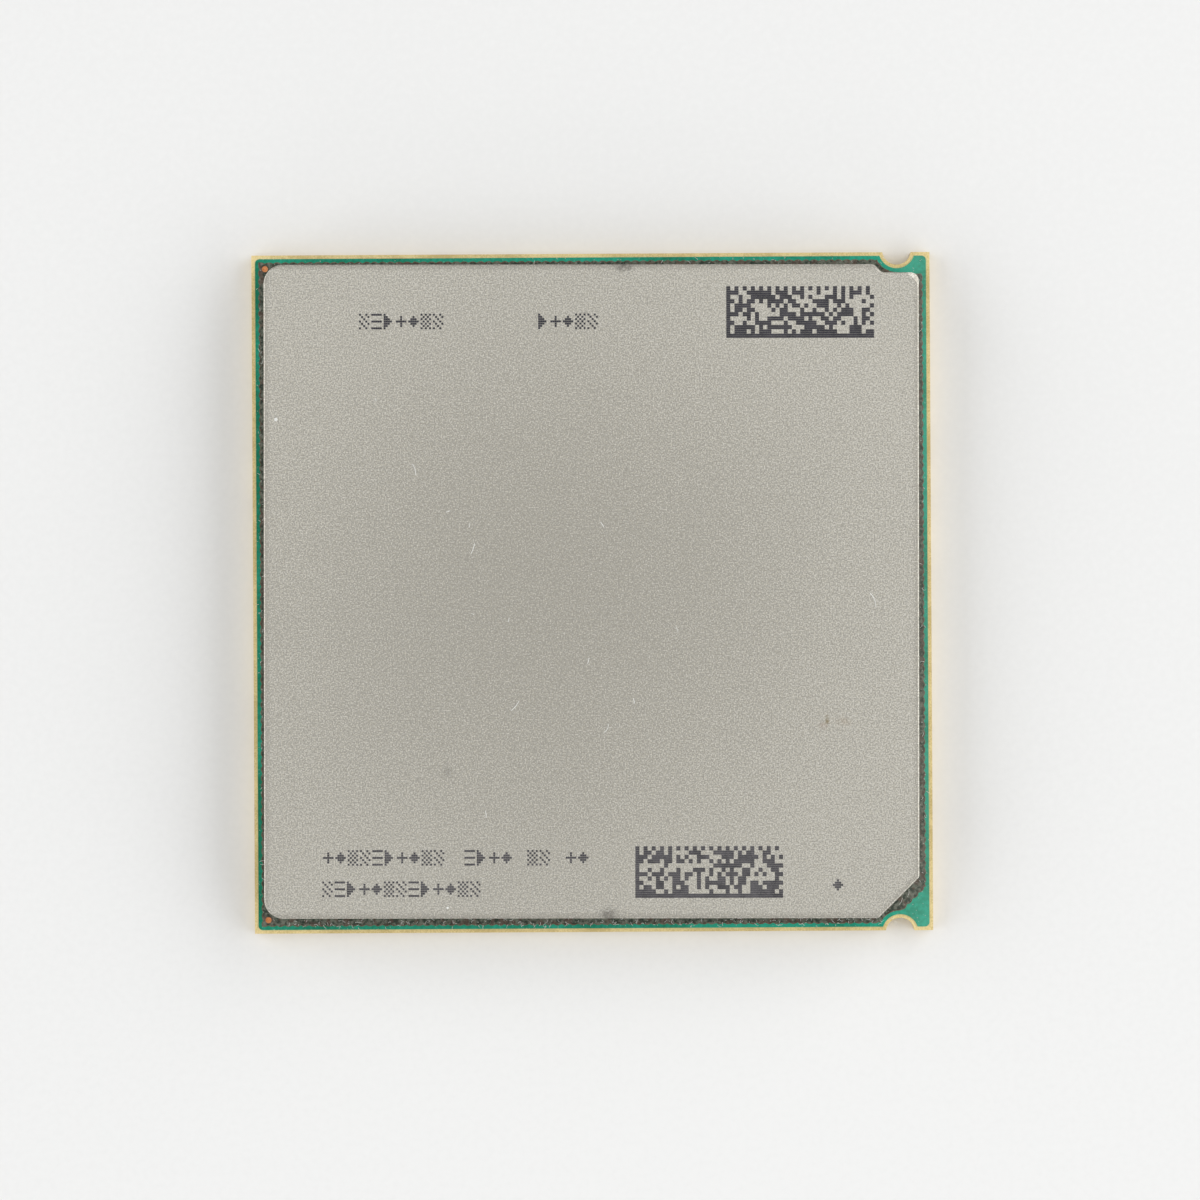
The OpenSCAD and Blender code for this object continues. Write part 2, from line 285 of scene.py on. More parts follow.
@dataclass(frozen=True)
class NickelFinish:
    """Matte nickel plating with a fine blasted grain, faint cloudiness and a few stains.

    The middle of the top is darkened as painted shade, where the side lights fall off, and a strip along
    the edge is darkened as painted shade of the edge's roll-off; flat_angle dulls what is mirrored at flat
    angles.
    """

    name: str = "matte_nickel"
    dark: Color = (0.4, 0.379, 0.331)
    light: Color = (0.715, 0.688, 0.618)
    tone_span: Span = (0.37, 0.68)
    warm: Color = (0.56, 0.525, 0.43)
    warm_grain: float = 0.17 * MM
    warm_span: Span = (0.45, 0.65)
    warm_share: float = 0.4
    flat_angle: Color = (0.2, 0.2, 0.2)
    # Painted shade: the middle of the top is darkened, as where the side lights fall off.
    middle_shade_x: float = -3 * MM
    middle_shade_reach: float = 33 * MM
    middle_shade_depth: float = -0.115
    # Painted shade: a strip along the edge is darkened, as the edge's roll-off would shade it.
    edge_shade_w: float = 0.55 * MM
    edge_shade_start: Span = (0.06 * MM, 0.12 * MM)
    edge_shade_depth: float = -0.13
    stain_drop: float = 0.5 * MM
    stain_grain: float = 0.35 * MM
    stain_span: Span = (0.35, 0.6)
    stain_cover: Span = (0.35, 1.0)
    grain: float = 0.1 * MM
    grain_detail: float = 1.5
    cloud: float = 22 * MM
    cloud_share: float = 0.05
    gloss: Span = (0.49, 0.53)
    relief: float = 0.006 * MM
    stains: tuple[Stain, ...] = (
        Stain((2.41 * MM, 23.75 * MM), (1.1 * MM, 0.6 * MM), (0.09, 0.085, 0.075), 0.68),
        Stain((1.24 * MM, -23.6 * MM), (1.1 * MM, 0.8 * MM), (0.1, 0.095, 0.083), 0.6),
        Stain((-10.51 * MM, -13.22 * MM), (0.55 * MM, 0.75 * MM), (0.2, 0.19, 0.17), 0.35),
        Stain((17.22 * MM, -9.42 * MM), (0.24 * MM, 0.56 * MM), (0.23, 0.17, 0.06), 0.8),
        Stain((18.36 * MM, -9.52 * MM), (0.9 * MM, 0.5 * MM), (0.38, 0.27, 0.16), 0.28),
        Stain((16.93 * MM, -9.83 * MM), (0.5 * MM, 0.38 * MM), (0.4, 0.26, 0.18), 0.32),
    )

    def edge_painted_shade(self, graph: Graph, place: Matrix, half: Point, cut: float) -> Socket:
        """Mark the strip of the lid's top along the round of its edge, which is darkened as painted shade.

        Args:
            graph: The material's graph.
            place: The lid's place on the board.
            half: The lid's half widths in x and y.
            cut: What the cut corner takes off each side.

        Returns:
            A socket that is near 1 beside the round, and 0 on the round and inside the strip.
        """
        turn = graph.tree.nodes.new("ShaderNodeMapping")
        turn.vector_type = "TEXTURE"
        turn.inputs["Location"].default_value = place.translation
        turn.inputs["Rotation"].default_value = place.to_euler()
        graph.feed(turn.inputs["Vector"], graph.place)
        split = graph.tree.nodes.new("ShaderNodeSeparateXYZ")
        graph.feed(split.inputs[0], turn.outputs["Vector"])
        insets = [
            graph.math("SUBTRACT", side, graph.math("ABSOLUTE", axis))
            for side, axis in zip(half, split.outputs)
        ]
        diagonal = graph.math("SUBTRACT", split.outputs[0], split.outputs[1])
        past_cut = graph.math("SUBTRACT", sum(half) - cut, diagonal)
        cut_inset = graph.math("MULTIPLY", past_cut, COS_45)
        nearest = graph.math("MINIMUM", graph.math("MINIMUM", *insets), cut_inset)
        strip = graph.ease(nearest, self.edge_shade_w, 0.0)
        return graph.math("MULTIPLY", strip, graph.ease(nearest, *self.edge_shade_start))

    def material(self, place: Matrix, half: Point, cut: float, top: float) -> bpy.types.Material:
        """Build the material.

        Args:
            place: The lid's place on the board, which the stains follow.
            half: The lid's half widths in x and y.
            cut: What the cut corner takes off each side.
            top: Level of the lid's top.

        Returns:
            The material.
        """
        graph = Graph(self.name)
        grain = graph.noise(self.grain, detail=self.grain_detail)
        cloud = graph.noise(self.cloud, detail=FINE_DETAIL)
        tone = graph.math("MULTIPLY_ADD", cloud, self.cloud_share, grain)
        # Painted shade darkens the middle of the top.
        middle_painted_shade = graph.spot(Vector((self.middle_shade_x, 0.0, top)), Vector((1, 1, 1)) * self.middle_shade_reach)
        tone = graph.math("MULTIPLY_ADD", middle_painted_shade, self.middle_shade_depth, tone)
        # Painted shade darkens a strip along the edge, though not its round.
        edge_painted_shade = self.edge_painted_shade(graph, place, half, cut)
        tone = graph.math("MULTIPLY_ADD", edge_painted_shade, self.edge_shade_depth, tone)
        color = graph.blend(graph.ease(tone, *self.tone_span), self.dark, self.light)
        warm = graph.ease(graph.noise(self.warm_grain), *self.warm_span, 0.0, self.warm_share)
        color = graph.blend(warm, color, self.warm)
        ragged = graph.noise(self.stain_grain, detail=FINE_DETAIL)
        ragged = graph.ease(ragged, *self.stain_span, *self.stain_cover)
        for stain in self.stains:
            middle = place @ Vector((*stain.centre, top))
            spot = graph.spot(middle, Vector((*stain.reach, self.stain_drop)))
            soiled = graph.math("MULTIPLY", spot, stain.strength)
            color = graph.blend(graph.math("MULTIPLY", soiled, ragged), color, stain.color)
        graph.set(
            Base_Color=color,
            Metallic=1.0,
            Roughness=graph.ease(cloud, *NOISE_SPAN, *self.gloss),
            Specular_Tint=self.flat_angle,
        )
        graph.bump(grain, self.relief)
        return graph.material


@dataclass(frozen=True)
class CopperLayout:
    """Outline of the copper plane that shows through the top mask as a darker field."""

    half: float = 24.39 * MM
    lobe_pitch: float = 0.6 * MM
    lobe_depth: float = 0.1 * MM
    notch: Point = (22.58 * MM, 25.15 * MM)
    notch_clear: float = 1.62 * MM
    cut_level: float = 46.17 * MM
    field_y: float = 23.4 * MM

    def lobes(self, graph: Graph, along: Socket) -> Socket:
        """Lobes along an edge of the plane.

        Args:
            graph: The material's graph.
            along: Distance along the edge.

        Returns:
            How far the lobes stand out of the edge.
        """
        turn = graph.math("MULTIPLY", along, math.pi / self.lobe_pitch)
        wave = graph.math("ABSOLUTE", graph.math("SINE", turn))
        return graph.math("MULTIPLY", wave, self.lobe_depth)

    def depth(self, graph: Graph) -> Socket:
        """Distance inside the plane's outline.

        Args:
            graph: The material's graph.

        Returns:
            The distance, negative outside the plane.
        """
        x, y, _ = graph.axes()
        side_x, side_y = graph.math("ABSOLUTE", x), graph.math("ABSOLUTE", y)
        sides = [
            graph.math("ADD", graph.math("SUBTRACT", self.half, side), self.lobes(graph, along))
            for side, along in ((side_x, y), (side_y, x))
        ]
        notch_x = graph.math("SUBTRACT", x, self.notch[0])
        notch_y = graph.math("SUBTRACT", side_y, self.notch[1])
        squares = [graph.math("MULTIPLY", offset, offset) for offset in (notch_x, notch_y)]
        notch = graph.math("SUBTRACT", graph.math("SQRT", graph.math("ADD", *squares)), self.notch_clear)
        diagonal = graph.math("SUBTRACT", self.cut_level, graph.math("SUBTRACT", x, y))
        along_cut = graph.math("MULTIPLY", graph.math("ADD", x, y), COS_45)
        cut = graph.math("MULTIPLY_ADD", diagonal, COS_45, self.lobes(graph, along_cut))
        field = graph.math(
            "MAXIMUM", graph.math("SUBTRACT", self.notch[0], x), graph.math("SUBTRACT", self.field_y, y)
        )
        depth = sides[0]
        for other in (sides[1], notch, cut, field):
            depth = graph.math("MINIMUM", depth, other)
        return depth


@dataclass(frozen=True)
class TopMaskFinish:
    """Satin green mask, dark olive where it lies over copper, with dusty specks.

    The green grows lighter from left to right as painted light from the right, and a pale band along the
    right side is painted light as well.
    """

    name: str = "top_mask"
    green: tuple[Color, Color] = ((0.005, 0.175, 0.095), (0.024, 0.365, 0.24))
    olive: tuple[Color, Color] = ((0.03, 0.042, 0.03), (0.158, 0.168, 0.132))
    mottle: float = 0.22 * MM
    mottle_share: float = 0.4
    cloud: float = 4 * MM
    cloud_share: float = 0.6
    # Painted light: the green grows lighter from left to right.
    painted_light_x: Span = (-25 * MM, 25 * MM)
    painted_light_tilt: Span = (-0.2, 0.25)
    rust: Color = (0.11, 0.065, 0.05)
    rust_patch: float = 0.5 * MM
    rust_span: Span = (0.5, 0.62)
    rust_share: float = 0.6
    ragged: float = 0.08 * MM
    ragged_grain: float = 0.2 * MM
    edge_blur: float = 0.025 * MM
    copper_edge: Color = (0.19, 0.08, 0.055)
    copper_edge_w: float = 0.09 * MM
    copper_edge_share: float = 0.7
    # Colour of the real specks, and of the painted light along the right side.
    dust_and_painted_light: Color = (0.5, 0.5, 0.45)
    # Painted light: a pale band along the right side, in the same colour as the dusty specks.
    right_light_x: Span = (21 * MM, 24.2 * MM)
    right_light_share: float = 0.08
    speck: float = 0.16 * MM
    speck_detail: float = 1.0
    speck_span: Span = (0.69, 0.76)
    speck_share: float = 0.6
    gloss: Span = (0.36, 0.52)
    specular: float = 0.17
    copper_step: float = 0.012 * MM
    relief: float = 0.004 * MM
    layout: CopperLayout = CopperLayout()

    def material(self) -> bpy.types.Material:
        """Build the material.

        Returns:
            The material.
        """
        graph = Graph(self.name)
        ragged = graph.noise(self.ragged_grain)
        depth = graph.math("MULTIPLY_ADD", ragged, self.ragged, self.layout.depth(graph))
        depth = graph.math("SUBTRACT", depth, self.ragged / 2)
        over_copper = graph.ease(depth, -self.edge_blur, self.edge_blur)
        mottle = graph.ease(graph.noise(self.mottle, detail=FINE_DETAIL), *MOTTLE_SPAN)
        cloud = graph.ease(graph.noise(self.cloud), *NOISE_SPAN)
        clouded = graph.math("MULTIPLY", cloud, self.cloud_share)
        tone = graph.math("MULTIPLY_ADD", mottle, self.mottle_share, clouded)
        across = graph.axes()[0]
        # Painted light makes the green lighter from left to right.
        tone = graph.math("ADD", tone, graph.ease(across, *self.painted_light_x, *self.painted_light_tilt))
        green = graph.blend(tone, *self.green)
        rust = graph.ease(graph.noise(self.rust_patch), *self.rust_span, 0.0, self.rust_share)
        olive = graph.blend(rust, graph.blend(mottle, *self.olive), self.rust)
        off_edge = graph.math("ABSOLUTE", depth)
        seam = graph.ease(off_edge, self.copper_edge_w, 0.0, 0.0, self.copper_edge_share)
        olive = graph.blend(seam, olive, self.copper_edge)
        color = graph.blend(over_copper, green, olive)
        # Painted light pales a band along the right side.
        right_painted_light = graph.ease(across, *self.right_light_x, 0.0, self.right_light_share)
        color = graph.blend(right_painted_light, color, self.dust_and_painted_light)
        specks = graph.noise(self.speck, detail=self.speck_detail)
        specks = graph.ease(specks, *self.speck_span, 0.0, self.speck_share)
        graph.set(
            Base_Color=graph.blend(specks, color, self.dust_and_painted_light),
            Roughness=graph.ease(mottle, 0.0, 1.0, *self.gloss),
            Specular_IOR_Level=self.specular,
        )
        graph.bump(over_copper, self.copper_step)
        graph.bump(mottle, self.relief)
        return graph.material


@dataclass(frozen=True)
class LandGrid:
    """Places of the lands and the size of one land."""

    count: int = 47
    pitch: float = 1.0 * MM
    radius: float = 0.32 * MM
    corner_skip: int = 2

    def limit(self) -> int:
        """Most steps from the middle, along x and y together, that a land is at."""
        return self.count - 1 - self.corner_skip

    def offsets(self, graph: Graph) -> tuple[Socket, Socket]:
        """Offsets from the middle of the nearest land.

        Args:
            graph: The material's graph.

        Returns:
            The offsets along x and y, in pitches.
        """
        steps = [graph.math("DIVIDE", axis, self.pitch) for axis in graph.axes()[:2]]
        x, y = (graph.math("SUBTRACT", step, graph.math("ROUND", step)) for step in steps)
        return x, y

    def reach(self, graph: Graph) -> Socket:
        """Distance from the middle of the nearest land.

        Args:
            graph: The material's graph.

        Returns:
            The distance, in pitches.
        """
        squares = [graph.math("MULTIPLY", offset, offset) for offset in self.offsets(graph)]
        return graph.math("SQRT", graph.math("ADD", *squares))

    def held(self, graph: Graph) -> Socket:
        """Tell the places of the grid that hold a land.

        Args:
            graph: The material's graph.

        Returns:
            1 around a land and 0 where there is none.
        """
        places = [graph.math("DIVIDE", axis, self.pitch) for axis in graph.axes()[:2]]
        steps = [graph.math("ABSOLUTE", graph.math("ROUND", place)) for place in places]
        inside = graph.math("LESS_THAN", graph.math("MAXIMUM", *steps), self.count / 2)
        kept = graph.math("LESS_THAN", graph.math("ADD", *steps), self.limit() + 1)
        return graph.math("MULTIPLY", inside, kept)


@dataclass(frozen=True)
class LandMaskFinish:
    """Satin green mask of the underside, with a bare ring around every land.

    The reaches of the ring and of the web between the rings are in pitches of the grid.
    """

    name: str = "land_side_mask"
    green: tuple[Color, Color] = ((0.01, 0.12, 0.07), (0.02, 0.2, 0.12))
    mottle: float = 0.3 * MM
    cloud: float = 5 * MM
    web: Color = (0.035, 0.06, 0.035)
    web_reach: Span = (0.5, 0.56)
    web_share: float = 0.65
    ring: Color = (0.3, 0.26, 0.12)
    ring_reach: Span = (0.4, 0.385)
    ring_step: float = 0.015 * MM
    relief: float = 0.004 * MM
    gloss: Span = (0.3, 0.45)
    grid: LandGrid = LandGrid()

    def material(self) -> bpy.types.Material:
        """Build the material.

        Returns:
            The material.
        """
        graph = Graph(self.name)
        mottle = graph.ease(graph.noise(self.mottle, detail=FINE_DETAIL), *MOTTLE_SPAN)
        cloud = graph.ease(graph.noise(self.cloud), *NOISE_SPAN)
        mean = graph.math("DIVIDE", graph.math("ADD", mottle, cloud), 2.0)
        green = graph.blend(mean, *self.green)
        reach = self.grid.reach(graph)
        held = self.grid.held(graph)
        web = graph.ease(reach, *self.web_reach, 0.0, self.web_share)
        color = graph.blend(graph.math("MULTIPLY", web, held), green, self.web)
        bare = graph.math("MULTIPLY", graph.ease(reach, *self.ring_reach), held)
        color = graph.blend(bare, color, self.ring)
        graph.set(Base_Color=color, Roughness=graph.ease(mottle, 0.0, 1.0, *self.gloss))
        graph.bump(bare, self.ring_step)
        graph.bump(mottle, self.relief)
        return graph.material


@dataclass(frozen=True)
class GoldFinish:
    """Thin gold plating with a short wipe mark where a socket's contact has slid.

    The mark's place and half sizes are in pitches of the grid, each half size with its soft rim.
    """

    name: str = "land_gold"
    dark: Color = (0.78, 0.53, 0.2)
    light: Color = (0.98, 0.76, 0.36)
    grain: float = 0.06 * MM
    patch: float = 6 * MM
    wipe: Color = (0.55, 0.37, 0.15)
    wipe_y: float = 0.06
    wipe_half_w: Span = (0.05, 0.02)
    wipe_half_l: Span = (0.13, 0.08)
    wipe_share: float = 0.7
    gloss: Span = (0.27, 0.45)
    relief: float = 0.003 * MM
    grid: LandGrid = LandGrid()

    def material(self) -> bpy.types.Material:
        """Build the material.

        Returns:
            The material.
        """
        graph = Graph(self.name)
        grain = graph.noise(self.grain, detail=FINE_DETAIL)
        patch = graph.noise(self.patch)
        tone = graph.ease(graph.math("ADD", grain, patch), *TWO_NOISES_SPAN)
        color = graph.blend(tone, self.dark, self.light)
        x, y = self.grid.offsets(graph)
        aside = graph.math("ABSOLUTE", x)
        slid = graph.math("ABSOLUTE", graph.math("SUBTRACT", y, self.wipe_y))
        wiped = graph.math(
            "MULTIPLY",
            graph.ease(aside, *self.wipe_half_w),
            graph.ease(slid, *self.wipe_half_l, 0.0, self.wipe_share),
        )
        graph.set(
            Base_Color=graph.blend(wiped, color, self.wipe),
            Metallic=1.0,
            Roughness=graph.ease(wiped, 0.0, 1.0, *self.gloss),
        )
        graph.bump(grain, self.relief)
        return graph.material


@dataclass(frozen=True)
class LaminateFinish:
    """Bare resin laminate: fibre flecks on its faces, layers and saw streaks on its sides."""

    name: str = "bare_laminate"
    dark: Color = (0.58, 0.432, 0.17)
    light: Color = (0.835, 0.665, 0.32)
    tone_span: Span = (0.9, 1.5)
    fleck: float = 0.12 * MM
    patch: float = 2.5 * MM
    streak: float = 0.05 * MM
    streak_stretch: float = 30.0
    streak_share: float = 0.4
    layer: Color = (0.3, 0.19, 0.07)
    layer_pitch: float = 0.16 * MM
    layer_span: Span = (0.55, 1.0)
    layer_share: float = 0.45
    gloss: Span = (0.5, 0.68)
    relief: float = 0.008 * MM

    def material(self) -> bpy.types.Material:
        """Build the material.

        Returns:
            The material.
        """
        graph = Graph(self.name)
        flecks = graph.noise(self.fleck, detail=FINE_DETAIL)
        patch = graph.noise(self.patch)
        streaks = graph.noise(self.streak, stretch=Vector((1, 1, self.streak_stretch)))
        tone = graph.math("MULTIPLY_ADD", streaks, self.streak_share, flecks)
        tone = graph.ease(graph.math("ADD", tone, patch), *self.tone_span)
        color = graph.blend(tone, self.dark, self.light)
        level = graph.math("MULTIPLY", graph.axes()[2], math.tau / self.layer_pitch)
        layers = graph.ease(graph.math("SINE", level), *self.layer_span, 0.0, self.layer_share)
        layers = graph.math("MULTIPLY", layers, self.side(graph))
        graph.set(
            Base_Color=graph.blend(layers, color, self.layer),
            Roughness=graph.ease(flecks, *NOISE_SPAN, *self.gloss),
        )
        graph.bump(flecks, self.relief)
        return graph.material

    def side(self, graph: Graph) -> Socket:
        """Tell the sides from the level faces.

        Args:
            graph: The material's graph.

        Returns:
            1 on the sides and 0 on the level faces.
        """
        geometry = graph.tree.nodes.new("ShaderNodeNewGeometry")
        split = graph.tree.nodes.new("ShaderNodeSeparateXYZ")
        graph.feed(split.inputs[0], geometry.outputs["True Normal"])
        return graph.math("SUBTRACT", 1.0, graph.math("ABSOLUTE", split.outputs[2]))


LASER_DARK = GrainFinish(
    "laser_dark", (0.014, 0.013, 0.018), (0.044, 0.041, 0.05), 0.09 * MM, 0.7 * MM, (0.55, 0.7)
)
LASER_PALE = GrainFinish(
    "laser_pale", (0.03, 0.028, 0.032), (0.085, 0.08, 0.086), 0.09 * MM, 0.7 * MM, (0.55, 0.7)
)
BARE_COPPER = GrainFinish(
    "bare_copper", (0.52, 0.175, 0.065), (0.76, 0.32, 0.14), 0.09 * MM, 0.8 * MM, (0.35, 0.5), metal=1.0
)
SEAL_ADHESIVE = GrainFinish(
    "seal_adhesive", (0.018, 0.018, 0.018), (0.05, 0.05, 0.052), 0.15 * MM, 2 * MM, (0.5, 0.65),
    relief=0.02 * MM,
)
SILICON_BACK = GrainFinish(
    "silicon_back", (0.1, 0.105, 0.12), (0.17, 0.175, 0.195), 0.05 * MM, 6 * MM, (0.12, 0.22), metal=0.6
)
TIN_SOLDER = GrainFinish(
    "tin_solder", (0.42, 0.42, 0.42), (0.72, 0.71, 0.69), 0.08 * MM, 0.6 * MM, (0.3, 0.45), metal=1.0
)
UNDERFILL_RESIN = GrainFinish(
    "underfill_resin", (0.012, 0.012, 0.016), (0.035, 0.035, 0.042), 0.1 * MM, 1.5 * MM, (0.2, 0.35)
)
THERMAL_COMPOUND = GrainFinish(
    "thermal_compound", (0.32, 0.32, 0.33), (0.5, 0.5, 0.5), 0.12 * MM, 3 * MM, (0.6, 0.75)
)
FIRED_CERAMIC = GrainFinish(
    "fired_ceramic", (0.24, 0.15, 0.09), (0.42, 0.29, 0.19), 0.06 * MM, 1 * MM, (0.45, 0.6)
)
WHITE_LINT = GrainFinish(
    "white_lint", (0.62, 0.62, 0.58), (0.85, 0.85, 0.82), 0.05 * MM, 0.5 * MM, (0.7, 0.85)
)
PALE_FLOOR = GrainFinish(
    "pale_floor", (0.79, 0.785, 0.77), (0.81, 0.805, 0.79), 0.5 * MM, 200 * MM, (0.75, 0.85)
)


def add_piece(name: str, mesh: bmesh.types.BMesh, material: bpy.types.Material) -> bpy.types.Object:
    """Turn a finished bmesh into an object at the origin.

    Args:
        name: Name of the piece.
        mesh: The bmesh, which is freed.
        material: Its material.

    Returns:
        The object.
    """
    bmesh.ops.recalc_face_normals(mesh, faces=mesh.faces)
    data = bpy.data.meshes.new(name)
    mesh.to_mesh(data)
    mesh.free()
    data.materials.append(material)
    piece = bpy.data.objects.new(name, data)
    bpy.context.scene.collection.objects.link(piece)
    return piece


def dress_node(node: bpy.types.Object, material: bpy.types.Material) -> None:
    """Give a CAD node its material.

    Args:
        node: The node.
        material: The material.
    """
    node.data.materials.clear()
    node.data.materials.append(material)
    LOG.info("dressed %s in %s", node.name, material.name)


@dataclass
class Corner:
    """A corner of a flat outline and the length along each side that its round takes."""

    x: float
    y: float
    tangent: float
    segments: int


@dataclass
class Lid:
    """Metal lid with one cut corner, one relieved corner and a pocket over the die."""

    half_x: float = 23.95 * MM
    half_y: float = 23.9 * MM
    foot: float = 4.0 * MM
    pocket_r: float = 2.0 * MM
    pocket_segments: int = 8
    plain_r: float = 1.4 * MM
    plain_segments: int = 12
    cut: float = 3.0 * MM
    cut_tangent: float = 0.12 * MM
    cut_segments: int = 4
    relief_l: float = 3.3 * MM
    relief_d: float = 0.6 * MM
    relief_r: float = 0.6 * MM
    relief_segments: int = 10
    ramp_tangent: float = 0.16 * MM
    ramp_segments: int = 5
    edge_round: float = 0.12 * MM
    edge_segments: int = 6
    rim: float = 0.03 * MM
    crescent_r: float = 1.45 * MM
    crescent_cuts: int = 7
    crescent_spread: float = math.radians(72)
    crescent_tilt: float = math.radians(30)
    skew: float = math.radians(-0.25)
    shift: Point = (-0.05 * MM, 0.1 * MM)
    brace: float = 0.4 * MM
    sharp_angle: float = math.radians(25)

    def place(self) -> Matrix:
        """The lid's place on the board, as glued."""
        return Matrix.Translation((*self.shift, 0.0)) @ Matrix.Rotation(self.skew, 4, "Z")

    def outline(self) -> list[Corner]:
        """Corners of the lid's outline.

        Returns:
            The corners, counter-clockwise from the left front one.
        """
        x, y = self.half_x, self.half_y
        shelf = y - self.relief_d
        return [
            Corner(-x, -y, self.plain_r, self.plain_segments),
            Corner(x - self.cut, -y, self.cut_tangent, self.cut_segments),
            Corner(x, -y + self.cut, self.cut_tangent, self.cut_segments),
            Corner(x, shelf, self.relief_r, self.relief_segments),
            Corner(x - self.relief_l + self.relief_d, shelf, self.ramp_tangent, self.ramp_segments),
            Corner(x - self.relief_l, y, self.ramp_tangent, self.ramp_segments),
            Corner(-x, y, self.plain_r, self.plain_segments),
        ]

    def pocket(self) -> list[Corner]:
        """Corners of the pocket's outline.

        Returns:
            The corners, counter-clockwise from the left front one.
        """
        x, y = self.half_x - self.foot, self.half_y - self.foot
        places = ((-x, -y), (x, -y), (x, y), (-x, y))
        return [Corner(*place, self.pocket_r, self.pocket_segments) for place in places]

    def loop(self, mesh: bmesh.types.BMesh, corners: list[Corner], z: float) -> list[bmesh.types.BMEdge]:
        """Draw a closed outline with rounded corners.

        Args:
            mesh: The bmesh to draw in.
            corners: The outline's corners.
            z: Level of the outline.

        Returns:
            The outline's edges.
        """
        before = set(mesh.edges)
        verts = [mesh.verts.new((corner.x, corner.y, z)) for corner in corners]
        mesh.faces.new(verts)
        for vert, corner in zip(verts, corners):
            bmesh.ops.bevel(
                mesh,
                geom=[vert],
                offset=corner.tangent,
                offset_type="OFFSET",
                segments=corner.segments,
                profile=BEVEL_PROFILE,
                affect="VERTICES",
                material=KEEP_MATERIAL,
            )
        edges = [edge for edge in mesh.edges if edge not in before]
        bmesh.ops.delete(mesh, geom=list(edges[0].link_faces), context="FACES_ONLY")
        return edges

    def raise_wall(
        self, mesh: bmesh.types.BMesh, edges: list[bmesh.types.BMEdge], height: float
    ) -> list[bmesh.types.BMEdge]:
        """Draw a wall up from an outline and close it on top.

        Args:
            mesh: The bmesh to draw in.
            edges: The outline's edges.
            height: Height of the wall.

        Returns:
            The edges around the new top.
        """
        drawn = bmesh.ops.extrude_edge_only(mesh, edges=edges)["geom"]
        verts = [item for item in drawn if isinstance(item, bmesh.types.BMVert)]
        rim = [item for item in drawn if isinstance(item, bmesh.types.BMEdge)]
        bmesh.ops.translate(mesh, verts=verts, vec=(0.0, 0.0, height))
        top = [edge for edge in rim if all(vert in set(verts) for vert in edge.verts)]
        bmesh.ops.contextual_create(mesh, geom=top)
        return top

    def cut_crescent(self, mesh: bmesh.types.BMesh, top_z: float) -> None:
        """Slice a crescent off the top of the round corner beside the relief.

        Args:
            mesh: The lid's bmesh.
            top_z: Level of the lid's top.
        """
        diagonal = Vector((1.0, 1.0, 0.0)).normalized()
        corner = Vector((self.half_x, self.half_y - self.relief_d, top_z))
        centre = corner - diagonal * self.crescent_r * math.sqrt(2)
        level = Vector((0.0, 0.0, math.cos(self.crescent_tilt)))
        for step in range(self.crescent_cuts):
            turn = self.crescent_spread * step / (self.crescent_cuts - 1) - self.crescent_spread / 2
            outward = Matrix.Rotation(turn, 3, "Z") @ diagonal
            bmesh.ops.bisect_plane(
                mesh,
                geom=[*mesh.verts, *mesh.edges, *mesh.faces],
                plane_co=centre + outward * self.crescent_r,
                plane_no=outward * math.sin(self.crescent_tilt) + level,
                clear_outer=True,
            )
            open_edges = [edge for edge in mesh.edges if edge.is_boundary]
            bmesh.ops.contextual_create(mesh, geom=open_edges)

    def brace_corners(self, mesh: bmesh.types.BMesh) -> None:
        """Cut across the lid just short of its corners, which keeps their shading off the long sides.

        Args:
            mesh: The lid's bmesh.
        """
        across, along = Vector((1.0, 0.0, 0.0)), Vector((0.0, 1.0, 0.0))
        cuts = (
            (across, -self.half_x + self.plain_r + self.brace),
            (across, self.half_x - self.relief_l - self.brace),
            (along, -self.half_y + self.cut + self.brace),
            (along, self.half_y - self.relief_d - self.crescent_r - self.brace),
        )
        for axis, offset in cuts:
            bmesh.ops.bisect_plane(
                mesh,
                geom=[*mesh.verts, *mesh.edges, *mesh.faces],
                plane_co=axis * offset,
                plane_no=axis,
            )

    def build(self) -> None:
        """Model the lid over its CAD node."""
        low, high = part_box("lid")
        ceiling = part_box("thermal_interface")[1].z
        mesh = bmesh.new()
        outer = self.loop(mesh, self.outline(), low.z)
        inner = self.loop(mesh, self.pocket(), low.z)
        bmesh.ops.bridge_loops(mesh, edges=outer + inner)
        self.raise_wall(mesh, inner, ceiling - low.z)
        top = self.raise_wall(mesh, outer, high.z - low.z)
        bmesh.ops.bevel(
            mesh,
            geom=top,
            offset=self.edge_round,
            offset_type="OFFSET",
            segments=self.edge_segments,
            profile=BEVEL_PROFILE,
            affect="EDGES",
            material=KEEP_MATERIAL,
        )
        self.cut_crescent(mesh, high.z)
        bmesh.ops.recalc_face_normals(mesh, faces=mesh.faces)
        # No other face is as high and as wide as the top.
        face = max(mesh.faces, key=lambda item: item.calc_center_median().z + item.calc_area())
        bmesh.ops.inset_region(mesh, faces=[face], thickness=self.rim, use_even_offset=True)
        self.brace_corners(mesh)
        for item in mesh.faces:
            item.smooth = True
        for edge in mesh.edges:
            edge.smooth = edge.calc_face_angle(0.0) < self.sharp_angle
        bmesh.ops.transform(mesh, matrix=self.place(), verts=mesh.verts)
        half = (self.half_x, self.half_y)
        nickel = NickelFinish().material(self.place(), half, self.cut, high.z)
        lid = add_piece("lid_plate", mesh, nickel)
        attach(lid, ROOT)
        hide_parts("lid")
        LOG.info("built %s with %d faces", lid.name, len(lid.data.polygons))


